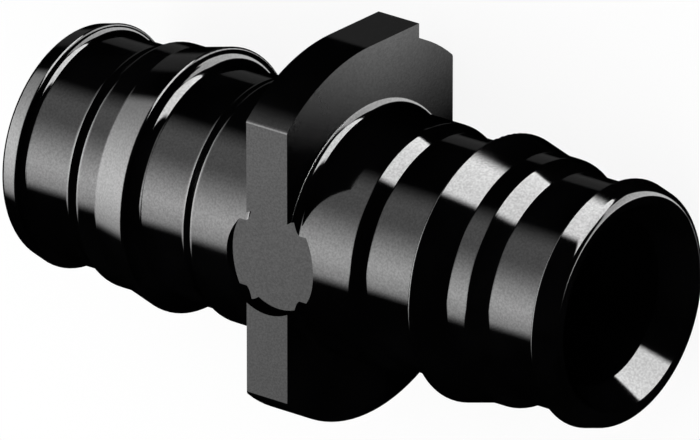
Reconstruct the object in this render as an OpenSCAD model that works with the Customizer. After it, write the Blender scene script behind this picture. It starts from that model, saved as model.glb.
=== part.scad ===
// Straight coupling for expanded plastic pipe, moulded in one piece.
// Two barbed spigots stand back to back on a stop flange, and one plain bore runs through them.
// The bore lies along X, and the two spanner flats of the flange face up and down.

/* [Waterway] */
// Diameter of the through bore
bore_d = 12.9; // [10:0.1:24]
// Widening of the mouth on each side, from the bore to the end face
mouth_flare = 1.55; // [0.8:0.05:1.8]
// Depth of the flared mouth
mouth_depth = 2.2; // [1:0.05:8]

/* [Heights of the spigot] */
// Wall in the groove, between the two barbs
groove_wall = 2.45; // [1.3:0.05:3]
// Rise from the groove to the land in front of the main barb
mid_rise = 0.75; // [0.4:0.05:1.2]
// Rise from that land to the crest of the main barb
barb_rise = 0.75; // [0.4:0.05:1.2]
// Drop from the crest of the main barb to the neck behind it
neck_drop = 1.25; // [1:0.05:1.8]
// Rise from the neck to the land next to the flange
root_rise = 0.5; // [0.3:0.05:1]
// Rise from the groove to the crest of the end barb
end_barb_rise = 0.7; // [0.62:0.02:1]

/* [Lengths of the spigot] */
// Land next to the flange
root_len = 5.7; // [5:0.1:10]
// Slope down to the neck
root_step_len = 1.15; // [0.8:0.05:3]
// Neck, up to the back of the main barb
neck_len = 4.9; // [2:0.1:8]
// Land in front of the main barb
mid_len = 1.8; // [1:0.1:4]
// Slope down to the groove
mid_step_len = 1.5; // [0.8:0.05:3]
// Groove, up to the back of the end barb
groove_len = 4.5; // [2:0.1:8]
// End barb, up to the end face
end_barb_len = 1.9; // [1.2:0.1:3]
// Slope of both barbs towards the tip, in degrees
barb_angle = 14; // [10:1:20]

/* [Edges of the spigot] */
// Radius on the crest of the main barb
barb_crest_r = 0.18; // [0.05:0.01:0.3]
// Radius in the corner behind the main barb
barb_fillet_r = 0.8; // [0.2:0.05:1]
// Radius on the crest of the end barb
end_crest_r = 0.16; // [0.05:0.01:0.2]
// Radius in the corner behind the end barb
end_fillet_r = 0.45; // [0.1:0.05:0.5]
// Radius on the outer edge of the end face
tip_edge_r = 0.7; // [0.1:0.05:0.8]
// Radius on the blunt edges of the slopes
slope_edge_r = 0.7; // [0.1:0.1:1.5]

/* [Flange] */
// Thickness of the stop flange
flange_t = 3.9; // [2:0.1:8]
// Height of the flange above the land next to it
flange_rise = 5.25; // [3:0.05:10]
// Height of the two spanner flats above the land next to them
flat_rise = 0.35; // [0.1:0.05:1]
// Radius on the long edges of the flats
flat_edge_r = 0.35; // [0.1:0.05:1]
// Width of the square shoulder, from the middle of the flange
shoulder_w = 5.9; // [3:0.1:8]
// Radius in the corner between the flange and a spigot
root_fillet_r = 0.65; // [0.2:0.05:1.5]
// Diameter of the round pocket in each flat
pocket_d = 8.3; // [5:0.1:12]
// Depth of the round pocket below the flat
pocket_depth = 0.72; // [0.2:0.02:1.2]

/* [Hidden] */
$fn = 144;
// Overshoot of a cut past the surface that it opens
cut = 1;

bore_r = bore_d / 2;
mouth_r = bore_r + mouth_flare;
groove_r = bore_r + groove_wall;
mid_r = groove_r + mid_rise;
barb_r = mid_r + barb_rise;
neck_r = barb_r - neck_drop;
root_r = neck_r + root_rise;
end_barb_r = groove_r + end_barb_rise;
flange_r = root_r + flange_rise;
flat_z = root_r + flat_rise;

// Radius of the sharp corner that an edge of radius edge_r rounds down to a crest at crest_r
function crest_corner(crest_r, edge_r) =
    crest_r + edge_r * (tan(barb_angle) + 1 / cos(barb_angle) - 1);
barb_corner_r = crest_corner(barb_r, barb_crest_r);
end_corner_r = crest_corner(end_barb_r, end_crest_r);
tip_r = end_corner_r - end_barb_len * tan(barb_angle);

// Places along the bore, from the middle of the flange outwards
face_x = flange_t / 2;
root_end_x = face_x + root_len;
neck_x = root_end_x + root_step_len;
barb_x = neck_x + neck_len;
mid_x = barb_x + (barb_corner_r - mid_r) / tan(barb_angle);
mid_end_x = mid_x + mid_len;
groove_x = mid_end_x + mid_step_len;
end_barb_x = groove_x + groove_len;
tip_x = end_barb_x + end_barb_len;
throat_x = tip_x - mouth_depth;

// Sharp outline of one spigot as [radius, place, edge radius], from the flange to the end face
OUTLINE = [
    [root_r, 0, 0],
    [root_r, root_end_x, slope_edge_r],
    [neck_r, neck_x, slope_edge_r],
    [neck_r, barb_x, barb_fillet_r],
    [barb_corner_r, barb_x, barb_crest_r],
    [mid_r, mid_x, slope_edge_r],
    [mid_r, mid_end_x, slope_edge_r],
    [groove_r, groove_x, slope_edge_r],
    [groove_r, end_barb_x, end_fillet_r],
    [end_corner_r, end_barb_x, end_crest_r],
    [tip_r, tip_x, tip_edge_r],
    [mouth_r, tip_x, 0]
];

function xy(p) = [p[0], p[1]];
function unit(v) = v / norm(v);
function cross_z(a, b) = a[0] * b[1] - a[1] * b[0];
// Positive where the outline turns outwards round point i, as at a crest
function turn(i) = cross_z(xy(OUTLINE[i]) - xy(OUTLINE[i - 1]), xy(OUTLINE[i + 1]) - xy(OUTLINE[i]));

// The piece between the sharp corner p and an arc of radius r that touches its two sides,
// drawn a little past the corner so that it can be cut away or filled in
module corner_piece(a, p, b, r) {
    u = unit(a - p);
    v = unit(b - p);
    half = acos(u * v) / 2;
    reach = r / tan(half);
    centre = p + unit(u + v) * r / sin(half);
    difference() {
        polygon([p + u * reach, p + (p - centre) / 2, p + v * reach, centre]);
        translate(centre) circle(r);
    }
}

// The rounding of point i of the outline
module outline_corner(i) {
    corner_piece(xy(OUTLINE[i - 1]), xy(OUTLINE[i]), xy(OUTLINE[i + 1]), OUTLINE[i][2]);
}

// Half section of one spigot, from the bore's centre line to its rounded outside
module spigot_section() {
    inner = [for (i = [1 : len(OUTLINE) - 2]) i];
    difference() {
        union() {
            polygon(concat([[0, 0]], [for (p = OUTLINE) xy(p)], [[0, tip_x]]));
            for (i = inner) if (turn(i) < 0) outline_corner(i);
        }
        for (i = inner) if (turn(i) > 0) outline_corner(i);
    }
}

module spigot() {
    rotate_extrude() spigot_section();
}

// The flared mouth, which meets the end face in a sharp edge
module mouth_cut() {
    rotate_extrude() polygon([
        [0, throat_x],
        [bore_r, throat_x],
        [mouth_r, tip_x],
        [mouth_r, tip_x + cut],
        [0, tip_x + cut]
    ]);
}

// The sharp corner to cut away where a flat meets the round of the flange
module flat_corner() {
    r = flat_edge_r;
    centre = [sqrt((flange_r - r) ^ 2 - (flat_z - r) ^ 2), flat_z - r];
    corner = [sqrt(flange_r ^ 2 - flat_z ^ 2), flat_z];
    difference() {
        polygon([
            [centre[0], flat_z],
            corner + (corner - centre) / 2,
            unit(centre) * flange_r,
            centre
        ]);
        translate(centre) circle(r);
    }
}

// Face of the flange: a disc with two flats, and one square shoulder on its side
module flange_outline() {
    difference() {
        intersection() {
            circle(flange_r);
            square([2 * flange_r + cut, 2 * flat_z], center = true);
        }
        for (side = [0, 1], top = [0, 1])
            mirror([side, 0]) mirror([0, top]) flat_corner();
    }
    translate([0, -shoulder_w]) square([flange_r, shoulder_w]);
}

module flange() {
    translate([-face_x, 0, 0]) rotate([90, 0, 90]) linear_extrude(flange_t) flange_outline();
}

// The fillet round a spigot's root, cut level with the flats
module root_fillet() {
    intersection() {
        rotate([0, 90, 0]) rotate_extrude()
            corner_piece([flange_r, face_x], [root_r, face_x], [root_r, root_end_x], root_fillet_r);
        cube([2 * root_end_x, 2 * flange_r, 2 * flat_z], center = true);
    }
}

// The round pocket that is sunk into a flat, through the flange and the root land
module pocket() {
    translate([0, 0, flat_z - pocket_depth]) cylinder(d = pocket_d, h = pocket_depth + cut);
}

module coupling_body() {
    color([0.03, 0.03, 0.035]) difference() {
        union() {
            flange();
            for (end = [0, 1]) mirror([end, 0, 0]) {
                rotate([0, 90, 0]) spigot();
                root_fillet();
            }
        }
        rotate([0, 90, 0]) cylinder(d = bore_d, h = 2 * (tip_x + cut), center = true);
        for (end = [0, 1]) mirror([end, 0, 0]) rotate([0, 90, 0]) mouth_cut();
        for (side = [0, 1]) mirror([0, 0, side]) pocket();
    }
}

coupling_body();
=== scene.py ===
"""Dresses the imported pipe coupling: moulded black plastic, floor, studio light and camera.

In Blender the same steps are in the sidebar panel.
"""

import math
from typing import NamedTuple

import bpy
import numpy as np
from bpy.props import FloatProperty, FloatVectorProperty, PointerProperty
from mathutils import Matrix, Vector


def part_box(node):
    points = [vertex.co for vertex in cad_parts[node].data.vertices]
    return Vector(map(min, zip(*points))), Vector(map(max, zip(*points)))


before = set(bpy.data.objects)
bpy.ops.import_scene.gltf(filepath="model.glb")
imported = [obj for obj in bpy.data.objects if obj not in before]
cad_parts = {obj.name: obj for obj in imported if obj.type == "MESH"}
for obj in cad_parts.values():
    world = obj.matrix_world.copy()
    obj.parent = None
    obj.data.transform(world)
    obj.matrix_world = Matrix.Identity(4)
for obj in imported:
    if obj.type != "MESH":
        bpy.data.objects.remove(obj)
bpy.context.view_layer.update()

bl_info = {
    "name": "Pipe coupling looks",
    "version": (1, 0, 0),
    "blender": (4, 5, 0),
    "location": "3D View > Sidebar > Coupling",
    "description": "Moulded plastic, studio and camera for a black pipe coupling",
    "category": "Object",
}

NODE = "coupling_body"
PICTURE_WIDTH = 700
SENSOR_MM = 36.0
MM = 0.001

# Sizes of the moulding in millimetres. They repeat the CAD source and have to change with it.
BORE_RADIUS = 6.45
MOUTH_RADIUS = 8.0
MOUTH_DEPTH = 2.2
GROOVE_RADIUS = 8.9
MID_RADIUS = 9.65
BARB_RADIUS = 10.4
NECK_RADIUS = 9.15
ROOT_RADIUS = 9.65
END_BARB_RADIUS = 9.6
ROOT_LENGTH = 5.7
ROOT_STEP_LENGTH = 1.15
NECK_LENGTH = 4.9
MID_LENGTH = 1.8
MID_STEP_LENGTH = 1.5
GROOVE_LENGTH = 4.5
END_BARB_LENGTH = 1.9
BARB_ANGLE = math.radians(14.0)
BARB_CREST_EDGE = 0.18
BARB_CORNER_EDGE = 0.8
END_CREST_EDGE = 0.16
END_CORNER_EDGE = 0.45
TIP_EDGE = 0.7
SLOPE_EDGE = 0.7
ROOT_EDGE = 0.65
FLANGE_FACE = 1.95
FLANGE_RADIUS = 14.9
FLAT_HEIGHT = 10.0
FLAT_EDGE = 0.35
POCKET_FLOOR = 9.28
SHOULDER_WIDTH = 5.9
# How far the flange's face and a pocket's floor reach at most, and where the shoulder's step starts
FACE_REACH = 17.0
POCKET_REACH = 5.0
STEP_START = 13.6

# How far a face may lie from a part of the outline to take its normals, in millimetres
SPIGOT_SLACK = 0.02
FLANGE_SLACK = 0.001
# What a face that looks away from a part's normal costs, as a distance in millimetres
TURN_COST = 0.004
# How far past its ends a rounding still counts, as a cosine, and the least length to divide by
ARC_SLACK = 0.001
TINY = 1e-6

# The plastic: its index of refraction, the blue in its black, and the plain strength of its shine
PLASTIC_IOR = 1.5
BLUE_SHARE = 1.1
PLAIN_SHINE = 0.5
# Cloudy patches per metre, and how many finer layers the noises have
CLOUD_SCALE = 160.0
CLOUD_DETAIL = 3.0
FINE_DETAIL = 1.0
# Values of the noises that count as lowest and highest
CLOUD_RANGE = (0.3, 0.7)
SPECK_RANGE = (0.2, 0.8)


class StudioPanel(NamedTuple):
    """A soft-edged panel of light: its place and turn in degrees, its edges and their softness.

    Edges and softness run left, right, bottom, top, as tangents from the panel's middle.
    """

    azimuth: float
    elevation: float
    turn: float
    edges: tuple
    softness: tuple


SIDE_PANEL = StudioPanel(-60.0, 5.0, 17.4, (-0.46, 0.86, -0.665, 0.995), (0.09, 0.08, 0.09, 0.28))
DARK_FLAG = StudioPanel(-60.0, 5.0, 17.4, (-1.20, -0.36, -0.38, 0.45), (0.05, 0.05, 0.08, 0.08))
OVERHEAD_PANEL = StudioPanel(0.0, 90.0, 0.0, (-0.275, 1.7, -0.33, 0.65), (0.04, 0.1, 0.07, 0.03))
REAR_PANEL = StudioPanel(138.0, 8.0, 0.0, (-0.31, 0.31, -0.466, 0.62), (0.05, 0.05, 0.03, 0.03))
BACK_PANEL = StudioPanel(-135.0, 8.0, 0.0, (-0.27, 0.27, -0.05, 0.30), (0.08, 0.08, 0.06, 0.03))
# Fades of the side panel as (lean, from, to, level at from, level at to): the first two run up
# the panel, leaning by so much across it, and the last one runs straight across
UPPER_FADE = (0.5, -0.12, 0.70, 1.0, 0.20)
LOWER_FADE = (0.3, -0.90, -0.10, 0.2, 1.0)
RIGHT_FADE = (-0.05, 0.35, 1.0, 0.89)
PANEL_SIDES = ("Left", "Right", "Bottom", "Top")
# Least share by which a direction has to face a panel to see it
MIN_FACING = 0.02

# The small card in metres: half its width along Z, and its lower and upper edge in Y
CARD_HALF_WIDTH = 0.016
CARD_LOW = 0.004
CARD_HIGH = 0.019
# Between these two places in Y its light rises from dark to full
CARD_RISE = (0.0060, 0.0145)
# From this place in Z on, the rise starts higher by this much per metre of Z
CARD_LEAN_FROM = -0.001
CARD_LEAN = 0.38
# How much of the rise is curved, and the fade towards the low Z as (from, to, level, level)
CARD_BEND = 0.345
CARD_BACK_FADE = (-0.0120, -0.0030, 0.80, 1.0)

# The camera sees from and to these shares of its distance from the object
CLIP_SHARES = (0.5, 3.0)


class PlasticSettings(bpy.types.PropertyGroup):
    """The finish of the moulded plastic."""

    base_level: FloatProperty(
        name="Base level",
        description="How light the plastic's own colour is",
        default=0.0008,
        min=0.0,
        max=1.0,
        subtype="FACTOR",
    )
    shade_variation: FloatProperty(
        name="Shade variation",
        description="Share by which the colour drifts over the moulding",
        default=0.35,
        min=0.0,
        max=1.0,
        subtype="FACTOR",
    )
    roughness: FloatProperty(
        name="Roughness",
        description="Roughness of the polished faces",
        default=0.05,
        min=0.0,
        max=1.0,
        subtype="FACTOR",
    )
    roughness_variation: FloatProperty(
        name="Roughness variation",
        description="How much rougher the cloudy patches are",
        default=0.03,
        min=0.0,
        max=1.0,
        subtype="FACTOR",
    )
    ripple_height: FloatProperty(
        name="Ripple height",
        description="Height of the slow ripple that the cooling plastic leaves",
        default=0.000002,
        min=0.0,
        soft_max=0.0001,
        unit="LENGTH",
        precision=6,
    )
    ripple_size: FloatProperty(
        name="Ripple size",
        description="Width of one ripple",
        default=0.0035,
        min=0.0001,
        unit="LENGTH",
        precision=5,
    )
    speck_height: FloatProperty(
        name="Speck height",
        description="Height of the fine specks in the surface",
        default=0.0000006,
        min=0.0,
        soft_max=0.0001,
        unit="LENGTH",
        precision=7,
    )
    speck_contrast: FloatProperty(
        name="Speck contrast",
        description="Share by which a speck's shine differs from the plain surface",
        default=0.18,
        min=0.0,
        max=1.0,
        subtype="FACTOR",
    )
    speck_size: FloatProperty(
        name="Speck size",
        description="Width of one speck",
        default=0.00017,
        min=0.00001,
        unit="LENGTH",
        precision=6,
    )
    flange_reach: FloatProperty(
        name="Flange reach",
        description="Distance from the middle within which the moulding mirrors itself as black",
        default=0.0026,
        min=0.0,
        unit="LENGTH",
        precision=5,
    )
    dark_outside: FloatProperty(
        name="Dark outside",
        description="Radius beyond which the moulding mirrors itself as black",
        default=0.01046,
        min=0.0,
        unit="LENGTH",
        precision=5,
    )
    clear_beyond: FloatProperty(
        name="Clear beyond",
        description="Distance beyond which a spigot's image in the rest of the moulding is clear",
        default=0.0008,
        min=0.0,
        unit="LENGTH",
        precision=5,
    )
    dark_inside: FloatProperty(
        name="Dark inside",
        description="Radius inside which the moulding mirrors itself as black",
        default=0.0084,
        min=0.0,
        unit="LENGTH",
        precision=5,
    )


class StudioSettings(bpy.types.PropertyGroup):
    """The floor, the light and the camera."""

    floor_size: FloatProperty(
        name="Floor size",
        description="Width of the square floor",
        default=6.0,
        min=0.1,
        unit="LENGTH",
    )
    floor_shade: FloatProperty(
        name="Floor shade",
        description="How light the floor's own colour is",
        default=0.98,
        min=0.0,
        max=1.0,
        subtype="FACTOR",
    )
    floor_whitening: FloatProperty(
        name="Floor whitening",
        description="Share of plain white that the camera sees in the floor",
        default=0.88,
        min=0.0,
        max=1.0,
        subtype="FACTOR",
    )
    sky_level: FloatProperty(
        name="Sky level",
        description="Strength of the even light round the object",
        default=1.0,
        min=0.0,
    )
    panel_fill: FloatProperty(
        name="Panel fill",
        description="Share of the panels' strength that lights matt surfaces",
        default=0.04,
        min=0.0,
        max=1.0,
        subtype="FACTOR",
    )
    side_panel_level: FloatProperty(
        name="Side panel level",
        description="Strength of the tall side panel at its brightest",
        default=7.6,
        min=0.0,
    )
    top_panel_level: FloatProperty(
        name="Top panel level",
        description="Strength of the wide panel above the far side",
        default=14.5,
        min=0.0,
    )
    rear_panel_level: FloatProperty(
        name="Rear panel level",
        description="Strength of the narrow panel behind the right end",
        default=6.0,
        min=0.0,
    )
    back_panel_level: FloatProperty(
        name="Back panel level",
        description="Strength of the weak panel behind the left end",
        default=0.10,
        min=0.0,
    )
    card_level: FloatProperty(
        name="Card level",
        description="Strength of the small card for the stop face at its brightest",
        default=1.52,
        min=0.0,
    )
    card_distance: FloatProperty(
        name="Card distance",
        description="How far along the bore the small card stands from the flange",
        default=0.06,
        min=0.001,
        unit="LENGTH",
    )
    lens: FloatProperty(
        name="Lens",
        description="Focal length of the camera, in millimetres",
        default=1000.0,
        min=1.0,
    )
    view_width: FloatProperty(
        name="View width",
        description="Width of the picture at the object",
        default=0.05271,
        min=0.001,
        unit="LENGTH",
        precision=5,
    )
    view_direction: FloatVectorProperty(
        name="View direction",
        description="From the object towards the camera",
        default=(0.5760, 0.3820, 0.7225),
        size=3,
        subtype="DIRECTION",
    )
    view_up: FloatVectorProperty(
        name="View up",
        description="The direction that is up in the picture",
        default=(-0.2382, 0.9241, -0.2987),
        size=3,
        subtype="DIRECTION",
    )
    origin_offset: FloatVectorProperty(
        name="Origin offset",
        description="How far right of and below the picture's middle the object's falls, in pixels",
        default=(0.0, 3.8),
        size=2,
    )


class NodeTable:
    """Short calls for building one node tree."""

    def __init__(self, tree):
        self.tree = tree

    def add(self, kind, **settings):
        node = self.tree.nodes.new(kind)
        for name, value in settings.items():
            setattr(node, name, value)
        return node

    def feed(self, socket, value):
        if isinstance(value, bpy.types.NodeSocket):
            self.tree.links.new(value, socket)
        else:
            socket.default_value = value

    def math(self, operation, first, second=None, third=None):
        node = self.add("ShaderNodeMath", operation=operation)
        self.feed(node.inputs[0], first)
        if second is not None:
            self.feed(node.inputs[1], second)
        if third is not None:
            self.feed(node.inputs[2], third)
        return node.outputs[0]

    def dot(self, first, second):
        node = self.add("ShaderNodeVectorMath", operation="DOT_PRODUCT")
        self.feed(node.inputs[0], first)
        self.feed(node.inputs[1], second)
        return node.outputs["Value"]

    def ramp(self, value, low, high, to_low=0.0, to_high=1.0):
        """A smooth step between two values, level on both sides of it."""
        node = self.add("ShaderNodeMapRange", interpolation_type="SMOOTHSTEP")
        self.feed(node.inputs["Value"], value)
        self.feed(node.inputs["From Min"], low)
        self.feed(node.inputs["From Max"], high)
        self.feed(node.inputs["To Min"], to_low)
        self.feed(node.inputs["To Max"], to_high)
        return node.outputs["Result"]

    def noise(self, place, scale, detail):
        node = self.add("ShaderNodeTexNoise")
        self.feed(node.inputs["Vector"], place)
        self.feed(node.inputs["Scale"], scale)
        self.feed(node.inputs["Detail"], detail)
        return node.outputs["Fac"]

    def blend(self, share, first, second):
        """Two shaders mixed, by the share of the second one."""
        node = self.add("ShaderNodeMixShader")
        self.feed(node.inputs[0], share)
        self.feed(node.inputs[1], first)
        self.feed(node.inputs[2], second)
        return node.outputs[0]

    def group(self, tree, **values):
        node = self.add("ShaderNodeGroup")
        node.node_tree = tree
        for name, value in values.items():
            self.feed(node.inputs[name.replace("_", " ")], value)
        return node


def new_group(name, inputs, outputs):
    """A shader node group with the named sockets, its input node and its output node."""
    tree = bpy.data.node_groups.new(name, "ShaderNodeTree")
    for label, kind in inputs:
        tree.interface.new_socket(label, in_out="INPUT", socket_type=kind)
    for label, kind in outputs:
        tree.interface.new_socket(label, in_out="OUTPUT", socket_type=kind)
    table = NodeTable(tree)
    return table, table.add("NodeGroupInput"), table.add("NodeGroupOutput")


def panel_group():
    """Mask of a soft-edged rectangular panel seen in a direction, with its own two coordinates."""
    name = "soft_panel"
    if name in bpy.data.node_groups:
        return bpy.data.node_groups[name]
    number, vector = "NodeSocketFloat", "NodeSocketVector"
    table, given, made = new_group(
        name,
        [(label, vector) for label in ("Direction", "Middle", "Right", "Up")]
        + [(label + " edge", number) for label in PANEL_SIDES]
        + [(label + " softness", number) for label in PANEL_SIDES],
        [("Mask", number), ("Across", number), ("Along", number)],
    )
    facing = table.dot(given.outputs["Direction"], given.outputs["Middle"])
    depth = table.math("MAXIMUM", facing, MIN_FACING)
    across = table.math(
        "DIVIDE", table.dot(given.outputs["Direction"], given.outputs["Right"]), depth
    )
    along = table.math(
        "DIVIDE", table.dot(given.outputs["Direction"], given.outputs["Up"]), depth
    )
    mask = table.math("GREATER_THAN", facing, MIN_FACING)
    values = (across, across, along, along)
    for label, value, sign in zip(PANEL_SIDES, values, (1.0, -1.0, 1.0, -1.0)):
        inside = table.math("SUBTRACT", value, given.outputs[label + " edge"])
        inside = table.math("MULTIPLY", inside, sign)
        softness = given.outputs[label + " softness"]
        step = table.ramp(inside, table.math("MULTIPLY", softness, -1.0), softness)
        mask = table.math("MULTIPLY", mask, step)
    table.feed(made.inputs["Mask"], mask)
    table.feed(made.inputs["Across"], across)
    table.feed(made.inputs["Along"], along)
    return table.tree


def studio_direction(azimuth, elevation):
    """Direction in the object's frame: azimuth from +Z towards +X, elevation towards +Y."""
    a, e = math.radians(azimuth), math.radians(elevation)
    return Vector((math.sin(a) * math.cos(e), math.sin(e), math.cos(a) * math.cos(e)))


def panel_axes(shape):
    """Middle, right and up of a panel that faces the object, turned about its own middle."""
    middle = studio_direction(shape.azimuth, shape.elevation)
    right = studio_direction(shape.azimuth + 90.0, 0.0)
    up = studio_direction(shape.azimuth, shape.elevation + 90.0)
    c, s = math.cos(math.radians(shape.turn)), math.sin(math.radians(shape.turn))
    return middle, right * c + up * s, up * c - right * s


def add_panel(table, direction, shape):
    """The node of one panel, seen in the given direction."""
    middle, right, up = panel_axes(shape)
    node = table.group(panel_group(), Direction=direction, Middle=middle, Right=right, Up=up)
    for label, edge, softness in zip(PANEL_SIDES, shape.edges, shape.softness):
        table.feed(node.inputs[label + " edge"], edge)
        table.feed(node.inputs[label + " softness"], softness)
    return node


def plastic_grain_group():
    """The unevenness of moulded plastic: a slow cloudiness, fine specks and a faint ripple."""
    name = "plastic_grain"
    if name in bpy.data.node_groups:
        return bpy.data.node_groups[name]
    number = "NodeSocketFloat"
    table, given, made = new_group(
        name,
        [("Position", "NodeSocketVector"), ("Ripple size", number), ("Speck size", number)],
        [("Cloud", number), ("Speck", number), ("Ripple", number)],
    )
    place = given.outputs["Position"]
    cloud = table.noise(place, CLOUD_SCALE, CLOUD_DETAIL)
    table.feed(made.inputs["Cloud"], table.ramp(cloud, *CLOUD_RANGE))
    for label in ("Speck", "Ripple"):
        scale = table.math("DIVIDE", 1.0, given.outputs[label + " size"])
        table.feed(made.inputs[label], table.noise(place, scale, FINE_DETAIL))
    return table.tree


def straight_part(start, end):
    """A straight part of an outline: a function from points to their distance and its normal."""
    length = np.linalg.norm(end - start)
    along = (end - start) / length
    normal = np.array((-along[1], along[0]))

    def measure(points):
        reach = np.clip((points - start) @ along, 0.0, length)
        gap = np.linalg.norm(points - start - reach[:, None] * along, axis=1)
        return gap, np.broadcast_to(normal, points.shape)

    return measure


def round_part(start, end, centre, radius, sign):
    """A rounding of an outline: a function from points to their distance and its normals there."""
    middle = (start + end) / 2.0 - centre
    middle /= np.linalg.norm(middle)
    widest = (start - centre) @ middle / radius

    def measure(points):
        arm = points - centre
        length = np.linalg.norm(arm, axis=1)
        arm = arm / np.maximum(length, TINY)[:, None]
        beyond = arm @ middle < widest - ARC_SLACK
        return np.abs(length - radius) + beyond, arm * sign

    return measure


def outline_parts(outline):
    """The straight and round parts of an outline of (place, radius, edge radius) corners."""
    corners = [np.array(row[:2]) for row in outline]
    parts = []
    start = corners[0]
    for index in range(1, len(outline) - 1):
        corner, radius = corners[index], outline[index][2]
        if radius == 0.0:
            parts.append(straight_part(start, corner))
            start = corner
            continue
        back = corners[index - 1] - corner
        ahead = corners[index + 1] - corner
        back /= np.linalg.norm(back)
        ahead /= np.linalg.norm(ahead)
        half = math.acos(back @ ahead) / 2.0
        reach = radius / math.tan(half)
        inward = (back + ahead) / np.linalg.norm(back + ahead)
        centre = corner + inward * radius / math.sin(half)
        crest = back[0] * ahead[1] - back[1] * ahead[0] > 0.0
        first, last = corner + back * reach, corner + ahead * reach
        parts.append(straight_part(start, first))
        parts.append(round_part(first, last, centre, radius, 1.0 if crest else -1.0))
        start = last
    parts.append(straight_part(start, corners[-1]))
    return parts


def crest_corner(radius, edge):
    """Radius of the sharp corner that an edge rounds down to a crest of the given radius."""
    return radius + edge * (math.tan(BARB_ANGLE) + 1.0 / math.cos(BARB_ANGLE) - 1.0)


def spigot_outline():
    """Corners of one turned spigot as (place along the bore, radius, edge radius).

    They run from the flange over the barbs to the end face and back through the bore.
    """
    slope = math.tan(BARB_ANGLE)
    barb_corner = crest_corner(BARB_RADIUS, BARB_CREST_EDGE)
    end_corner = crest_corner(END_BARB_RADIUS, END_CREST_EDGE)
    root_end = FLANGE_FACE + ROOT_LENGTH
    neck = root_end + ROOT_STEP_LENGTH
    barb = neck + NECK_LENGTH
    mid = barb + (barb_corner - MID_RADIUS) / slope
    mid_end = mid + MID_LENGTH
    groove = mid_end + MID_STEP_LENGTH
    end_barb = groove + GROOVE_LENGTH
    tip = end_barb + END_BARB_LENGTH
    return (
        (FLANGE_FACE, FACE_REACH, 0.0),
        (FLANGE_FACE, ROOT_RADIUS, ROOT_EDGE),
        (root_end, ROOT_RADIUS, SLOPE_EDGE),
        (neck, NECK_RADIUS, SLOPE_EDGE),
        (barb, NECK_RADIUS, BARB_CORNER_EDGE),
        (barb, barb_corner, BARB_CREST_EDGE),
        (mid, MID_RADIUS, SLOPE_EDGE),
        (mid_end, MID_RADIUS, SLOPE_EDGE),
        (groove, GROOVE_RADIUS, SLOPE_EDGE),
        (end_barb, GROOVE_RADIUS, END_CORNER_EDGE),
        (end_barb, end_corner, END_CREST_EDGE),
        (tip, end_corner - END_BARB_LENGTH * slope, TIP_EDGE),
        (tip, MOUTH_RADIUS, 0.0),
        (tip - MOUTH_DEPTH, BORE_RADIUS, 0.0),
        (0.0, BORE_RADIUS, 0.0),
    )


def mesh_values(items, name, width, kind=np.float32):
    """One property of all the items of a mesh, as rows of the given width."""
    flat = np.empty(len(items) * width, kind)
    items.foreach_get(name, flat)
    return flat.reshape(-1, width)


def flange_parts():
    """The flats, the shoulder and the rounded edges of the flats, in the flange's own plane."""
    inner = FLANGE_RADIUS - FLAT_EDGE
    level = FLAT_HEIGHT - FLAT_EDGE
    centre = np.array((math.sqrt(inner**2 - level**2), level))
    flat_end = centre + (0.0, FLAT_EDGE)
    rim_start = centre * FLANGE_RADIUS / inner
    sides = (
        ((0.0, FLAT_HEIGHT), flat_end),
        ((0.0, POCKET_FLOOR), (POCKET_REACH, POCKET_FLOOR)),
        ((FLANGE_RADIUS, SHOULDER_WIDTH), (FLANGE_RADIUS, 0.0)),
        ((STEP_START, SHOULDER_WIDTH), (FLANGE_RADIUS, SHOULDER_WIDTH)),
    )
    parts = [straight_part(np.array(start), np.array(end)) for start, end in sides]
    parts.append(round_part(flat_end, rim_start, centre, FLAT_EDGE, 1.0))
    return parts


def true_normals(mesh):
    """The exact normal at each corner of the mesh, whose own ones follow the facets."""
    starts = mesh_values(mesh.polygons, "loop_start", 1, np.int32)[:, 0]
    counts = mesh_values(mesh.polygons, "loop_total", 1, np.int32)[:, 0]
    face_of = np.repeat(np.arange(len(starts)), counts)
    vertex_of = mesh_values(mesh.loops, "vertex_index", 1, np.int32)[:, 0]
    facing = mesh_values(mesh.polygons, "normal", 3)[face_of]
    place = mesh_values(mesh.vertices, "co", 3)[vertex_of].astype(float) / MM
    normals = mesh_values(mesh.corner_normals, "vector", 3).astype(float)
    along, across, level = (np.sign(place) * axis for axis in np.eye(3))
    outward = place * (0.0, 1.0, 1.0)
    radius = np.maximum(np.linalg.norm(outward, axis=1), TINY)
    outward /= radius[:, None]
    turned = (np.column_stack((np.abs(place[:, 0]), radius)), along, outward)
    flat = (np.abs(place[:, 1:]), across, level)
    rim = ((0.0, FLANGE_RADIUS, 0.0), (FLANGE_FACE, FLANGE_RADIUS, 0.0))
    tries = [(part, SPIGOT_SLACK, turned) for part in outline_parts(spigot_outline())]
    tries += [(part, FLANGE_SLACK, turned) for part in outline_parts(rim)]
    tries += [(part, FLANGE_SLACK, flat) for part in flange_parts()]
    best = np.full(len(starts), np.inf)
    for part, slack, (points, first, second) in tries:
        gap, slope = part(points)
        exact = slope[:, :1] * first + slope[:, 1:] * second
        agreement = np.minimum.reduceat((exact * facing).sum(axis=1), starts)
        cost = np.maximum.reduceat(gap, starts) + TURN_COST * (1.0 - agreement)
        better = (cost < slack) & (cost < best)
        best[better] = cost[better]
        normals[better[face_of]] = exact[better[face_of]]
    return normals


def fresh_material(name):
    """A new material with an empty node tree."""
    material = bpy.data.materials.new(name)
    material.use_nodes = True
    material.node_tree.nodes.clear()
    return material, NodeTable(material.node_tree)


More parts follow.
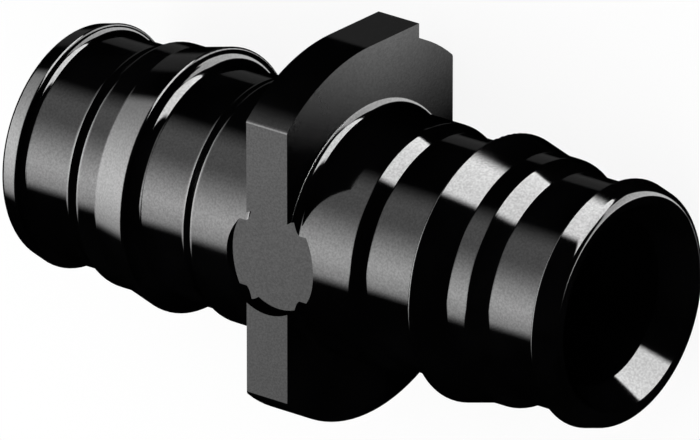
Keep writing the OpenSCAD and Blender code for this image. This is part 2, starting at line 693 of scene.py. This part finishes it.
class COUPLING_OT_plastic(bpy.types.Operator):
    """Gives the moulding its glossy black plastic"""

    bl_idname = "coupling.plastic"
    bl_label = "Plastic"

    def execute(self, context):
        settings = context.scene.coupling_plastic
        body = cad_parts[NODE]
        material, table = fresh_material("black_plastic_moulded")
        place = table.add("ShaderNodeTexCoord")
        grain = table.group(
            plastic_grain_group(),
            Position=place.outputs["Object"],
            Ripple_size=settings.ripple_size,
            Speck_size=settings.speck_size,
        )
        shade = table.ramp(
            grain.outputs["Cloud"],
            0.0,
            1.0,
            settings.base_level * (1.0 - settings.shade_variation),
            settings.base_level * (1.0 + settings.shade_variation),
        )
        colour = table.add("ShaderNodeCombineColor")
        table.feed(colour.inputs[0], shade)
        table.feed(colour.inputs[1], shade)
        table.feed(colour.inputs[2], table.math("MULTIPLY", shade, BLUE_SHARE))
        gloss = table.math(
            "MULTIPLY_ADD",
            grain.outputs["Cloud"],
            settings.roughness_variation,
            settings.roughness,
        )
        ripple = table.math("MULTIPLY", grain.outputs["Ripple"], settings.ripple_height)
        height = table.math("MULTIPLY_ADD", grain.outputs["Speck"], settings.speck_height, ripple)
        bump = table.add("ShaderNodeBump")
        table.feed(bump.inputs["Strength"], 1.0)
        table.feed(bump.inputs["Distance"], 1.0)
        table.feed(bump.inputs["Height"], height)
        shader = table.add("ShaderNodeBsdfPrincipled")
        shader.inputs["IOR"].default_value = PLASTIC_IOR
        table.feed(shader.inputs["Base Color"], colour.outputs[0])
        table.feed(shader.inputs["Roughness"], gloss)
        shine = table.ramp(
            grain.outputs["Speck"],
            *SPECK_RANGE,
            PLAIN_SHINE * (1.0 - settings.speck_contrast),
            PLAIN_SHINE * (1.0 + settings.speck_contrast),
        )
        table.feed(shader.inputs["Specular IOR Level"], shine)
        table.feed(shader.inputs["Normal"], bump.outputs["Normal"])
        surface = self.own_image(
            table, place.outputs["Object"], shader.outputs["BSDF"], settings
        )
        output = table.add("ShaderNodeOutputMaterial")
        table.feed(output.inputs["Surface"], surface)
        body.data.materials.clear()
        body.data.materials.append(material)
        self.true_shading(context, body)
        return {"FINISHED"}

    def own_image(self, table, place, shader, settings):
        """The moulding's image in itself: painted shade, black, but for the right spigot, which is
        clear.

        Very near a surface the right spigot still shows as it is.
        """
        parts = table.add("ShaderNodeSeparateXYZ")
        table.feed(parts.inputs[0], place)
        across = table.add("ShaderNodeCombineXYZ")
        table.feed(across.inputs[1], parts.outputs[1])
        table.feed(across.inputs[2], parts.outputs[2])
        length = table.add("ShaderNodeVectorMath", operation="LENGTH")
        table.feed(length.inputs[0], across.outputs[0])
        radius = length.outputs["Value"]
        near = table.math("ABSOLUTE", parts.outputs[0])
        flange = table.math("LESS_THAN", near, settings.flange_reach)
        left = table.math("LESS_THAN", parts.outputs[0], 0.0)
        outside = table.math("GREATER_THAN", radius, settings.dark_outside)
        inside = table.math("LESS_THAN", radius, settings.dark_inside)
        black = table.math("MAXIMUM", flange, table.math("MAXIMUM", outside, inside))
        black = table.math("MAXIMUM", black, left)
        path = table.add("ShaderNodeLightPath")
        glossy = path.outputs["Is Glossy Ray"]
        far = table.math("GREATER_THAN", path.outputs["Ray Length"], settings.clear_beyond)
        clear = table.math("MULTIPLY", far, table.math("SUBTRACT", 1.0, black))
        passed = table.math("GREATER_THAN", path.outputs["Transparent Depth"], 0.5)
        behind = table.add("ShaderNodeNewGeometry").outputs["Backfacing"]
        clear = table.math("MAXIMUM", clear, table.math("MAXIMUM", passed, behind))
        # Painted shade: glossy rays that meet the moulding where it is marked black see plain
        # black, not its reflection.
        dark = table.add("ShaderNodeBsdfDiffuse")
        dark.inputs["Color"].default_value = (0.0, 0.0, 0.0, 1.0)
        through = table.add("ShaderNodeBsdfTransparent")
        surface = table.blend(table.math("MULTIPLY", glossy, black), shader, dark.outputs[0])
        return table.blend(table.math("MULTIPLY", glossy, clear), surface, through.outputs[0])

    def true_shading(self, context, body):
        """Shades the moulding with the exact normals of its shape, from a hidden mesh copy."""
        mesh = body.data.copy()
        mesh.name = "true_normals"
        mesh.normals_split_custom_set(true_normals(mesh).tolist())
        source = bpy.data.objects.new("true_normals", mesh)
        context.scene.collection.objects.link(source)
        source.hide_render = True
        source.hide_viewport = True
        transfer = body.modifiers.new("true_normals", "DATA_TRANSFER")
        transfer.object = source
        transfer.use_loop_data = True
        transfer.data_types_loops = {"CUSTOM_NORMAL"}
        transfer.loop_mapping = "TOPOLOGY"


class COUPLING_OT_stage(bpy.types.Operator):
    """Lays the floor, sets the light round the object and places the camera"""

    bl_idname = "coupling.stage"
    bl_label = "Stage"

    def execute(self, context):
        settings = context.scene.coupling_studio
        self.lay_floor(context, settings)
        self.light(context, settings)
        self.flange_card(context, settings)
        self.aim_camera(context, settings)
        return {"FINISHED"}

    def lay_floor(self, context, settings):
        """A pale floor under the object, which no glossy face mirrors."""
        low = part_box(NODE)[0].z
        half = settings.floor_size / 2.0
        mesh = bpy.data.meshes.new("floor")
        corners = [(-half, -half, low), (half, -half, low), (half, half, low), (-half, half, low)]
        mesh.from_pydata(corners, [], [(0, 1, 2, 3)])
        floor = bpy.data.objects.new("floor", mesh)
        context.scene.collection.objects.link(floor)
        floor.visible_glossy = False
        material, table = fresh_material("pale_floor")
        matt = table.add("ShaderNodeBsdfDiffuse")
        shade = settings.floor_shade
        matt.inputs["Color"].default_value = (shade, shade, shade, 1.0)
        white = table.add("ShaderNodeEmission")
        white.inputs["Strength"].default_value = 1.0
        path = table.add("ShaderNodeLightPath")
        share = table.math("MULTIPLY", path.outputs["Is Camera Ray"], settings.floor_whitening)
        surface = table.blend(share, matt.outputs[0], white.outputs[0])
        output = table.add("ShaderNodeOutputMaterial")
        table.feed(output.inputs["Surface"], surface)
        mesh.materials.append(material)

    def light(self, context, settings):
        """Panels for glossy rays, even light for matt ones, and plain white for the camera."""
        world = bpy.data.worlds.new("studio")
        context.scene.world = world
        world.use_nodes = True
        world.node_tree.nodes.clear()
        table = NodeTable(world.node_tree)
        direction = table.add("ShaderNodeTexCoord").outputs["Generated"]
        total = self.side_panel(table, direction, settings)
        plain_panels = (
            (OVERHEAD_PANEL, settings.top_panel_level),
            (REAR_PANEL, settings.rear_panel_level),
            (BACK_PANEL, settings.back_panel_level),
        )
        for shape, level in plain_panels:
            panel = add_panel(table, direction, shape)
            total = table.math("MULTIPLY_ADD", panel.outputs["Mask"], level, total)
        fill = table.math("MULTIPLY_ADD", total, settings.panel_fill, settings.sky_level)
        seen, matt, glossy = (self.background(table, level) for level in (1.0, fill, total))
        path = table.add("ShaderNodeLightPath")
        direct = table.math(
            "MAXIMUM", path.outputs["Is Camera Ray"], path.outputs["Is Transmission Ray"]
        )
        surface = table.blend(path.outputs["Is Glossy Ray"], matt, glossy)
        output = table.add("ShaderNodeOutputWorld")
        table.feed(output.inputs["Surface"], table.blend(direct, surface, seen))

    def background(self, table, level):
        """White light of the given strength from all round."""
        node = table.add("ShaderNodeBackground")
        node.inputs["Color"].default_value = (1.0, 1.0, 1.0, 1.0)
        table.feed(node.inputs["Strength"], level)
        return node.outputs[0]

    def side_panel(self, table, direction, settings):
        """The tall panel on the left: brightest low down, with a dark flag on its left."""
        panel = add_panel(table, direction, SIDE_PANEL)
        across, along = panel.outputs["Across"], panel.outputs["Along"]
        fade = table.ramp(across, *RIGHT_FADE)
        for lean, *step in (UPPER_FADE, LOWER_FADE):
            height = table.math("MULTIPLY_ADD", across, lean, along)
            fade = table.math("MULTIPLY", fade, table.ramp(height, *step))
        flag = add_panel(table, direction, DARK_FLAG)
        open_part = table.math("SUBTRACT", 1.0, flag.outputs["Mask"])
        fade = table.math("MULTIPLY", fade, open_part)
        level = table.math("MULTIPLY", fade, settings.side_panel_level)
        return table.math("MULTIPLY", level, panel.outputs["Mask"])

    def flange_card(self, context, settings):
        """A small card that is seen in glossy faces alone and lights the stop face."""
        away = settings.card_distance
        ahead = Vector(settings.view_direction).normalized()
        start = FLANGE_FACE * MM
        mesh = bpy.data.meshes.new("flange_card")
        corners = [
            (0.0, CARD_LOW, -CARD_HALF_WIDTH),
            (0.0, CARD_HIGH, -CARD_HALF_WIDTH),
            (0.0, CARD_HIGH, CARD_HALF_WIDTH),
            (0.0, CARD_LOW, CARD_HALF_WIDTH),
        ]
        mesh.from_pydata(corners, [], [(0, 1, 2, 3)])
        card = bpy.data.objects.new("flange_card", mesh)
        card.location = (start + away, -away * ahead.y / ahead.x, -away * ahead.z / ahead.x)
        context.scene.collection.objects.link(card)
        card.visible_camera = False
        card.visible_diffuse = False
        card.visible_transmission = False
        card.visible_shadow = False
        material, table = fresh_material("flange_card")
        light = table.add("ShaderNodeEmission")
        level = table.math("MULTIPLY", self.card_light(table), settings.card_level)
        table.feed(light.inputs["Strength"], level)
        output = table.add("ShaderNodeOutputMaterial")
        table.feed(output.inputs["Surface"], light.outputs[0])
        mesh.materials.append(material)

    def card_light(self, table):
        """The card's light over its own Y and Z: it rises with Y, slowly at first."""
        place = table.add("ShaderNodeTexCoord").outputs["Object"]
        parts = table.add("ShaderNodeSeparateXYZ")
        table.feed(parts.inputs[0], place)
        y, z = parts.outputs[1], parts.outputs[2]
        beyond = table.math("MAXIMUM", table.math("SUBTRACT", z, CARD_LEAN_FROM), 0.0)
        height = table.math("MULTIPLY_ADD", beyond, -CARD_LEAN, y)
        rise = table.add("ShaderNodeMapRange", clamp=False)
        table.feed(rise.inputs["Value"], height)
        table.feed(rise.inputs["From Min"], CARD_RISE[0])
        table.feed(rise.inputs["From Max"], CARD_RISE[1])
        table.feed(rise.inputs["To Max"], 1.0)
        rise = table.math("MAXIMUM", rise.outputs["Result"], 0.0)
        bend = table.math("MULTIPLY_ADD", rise, CARD_BEND, 1.0 - CARD_BEND)
        back = table.ramp(z, *CARD_BACK_FADE)
        return table.math("MULTIPLY", table.math("MULTIPLY", rise, bend), back)

    def aim_camera(self, context, settings):
        """A long lens, aimed so that the object's middle falls where the settings say."""
        back = Vector(settings.view_direction).normalized()
        up = Vector(settings.view_up)
        up = (up - back * up.dot(back)).normalized()
        right = up.cross(back)
        pixel = settings.view_width / PICTURE_WIDTH
        target = (up * settings.origin_offset[1] - right * settings.origin_offset[0]) * pixel
        distance = settings.view_width * settings.lens / SENSOR_MM
        data = bpy.data.cameras.new("camera")
        data.lens = settings.lens
        data.sensor_width = SENSOR_MM
        data.clip_start = distance * CLIP_SHARES[0]
        data.clip_end = distance * CLIP_SHARES[1]
        camera = bpy.data.objects.new("camera", data)
        context.scene.collection.objects.link(camera)
        turn = Matrix((right, up, back)).transposed()
        camera.matrix_world = Matrix.Translation(target + back * distance) @ turn.to_4x4()
        context.scene.camera = camera
        context.scene.view_settings.view_transform = "Standard"


class COUPLING_PT_looks(bpy.types.Panel):
    """Sidebar panel with the steps and their values."""

    bl_idname = "COUPLING_PT_looks"
    bl_label = "Pipe coupling"
    bl_space_type = "VIEW_3D"
    bl_region_type = "UI"
    bl_category = "Coupling"

    def draw(self, context):
        groups = (
            (context.scene.coupling_plastic, COUPLING_OT_plastic),
            (context.scene.coupling_studio, COUPLING_OT_stage),
        )
        for settings, operator in groups:
            box = self.layout.box()
            for name in type(settings).__annotations__:
                box.prop(settings, name)
            box.operator(operator.bl_idname)


CLASSES = (
    PlasticSettings,
    StudioSettings,
    COUPLING_OT_plastic,
    COUPLING_OT_stage,
    COUPLING_PT_looks,
)


def register():
    for cls in CLASSES:
        bpy.utils.register_class(cls)
    bpy.types.Scene.coupling_plastic = PointerProperty(type=PlasticSettings)
    bpy.types.Scene.coupling_studio = PointerProperty(type=StudioSettings)


def unregister():
    del bpy.types.Scene.coupling_studio
    del bpy.types.Scene.coupling_plastic
    for cls in reversed(CLASSES):
        bpy.utils.unregister_class(cls)


def main():
    register()
    bpy.ops.coupling.plastic()
    bpy.ops.coupling.stage()


if __name__ == "__main__":
    main()
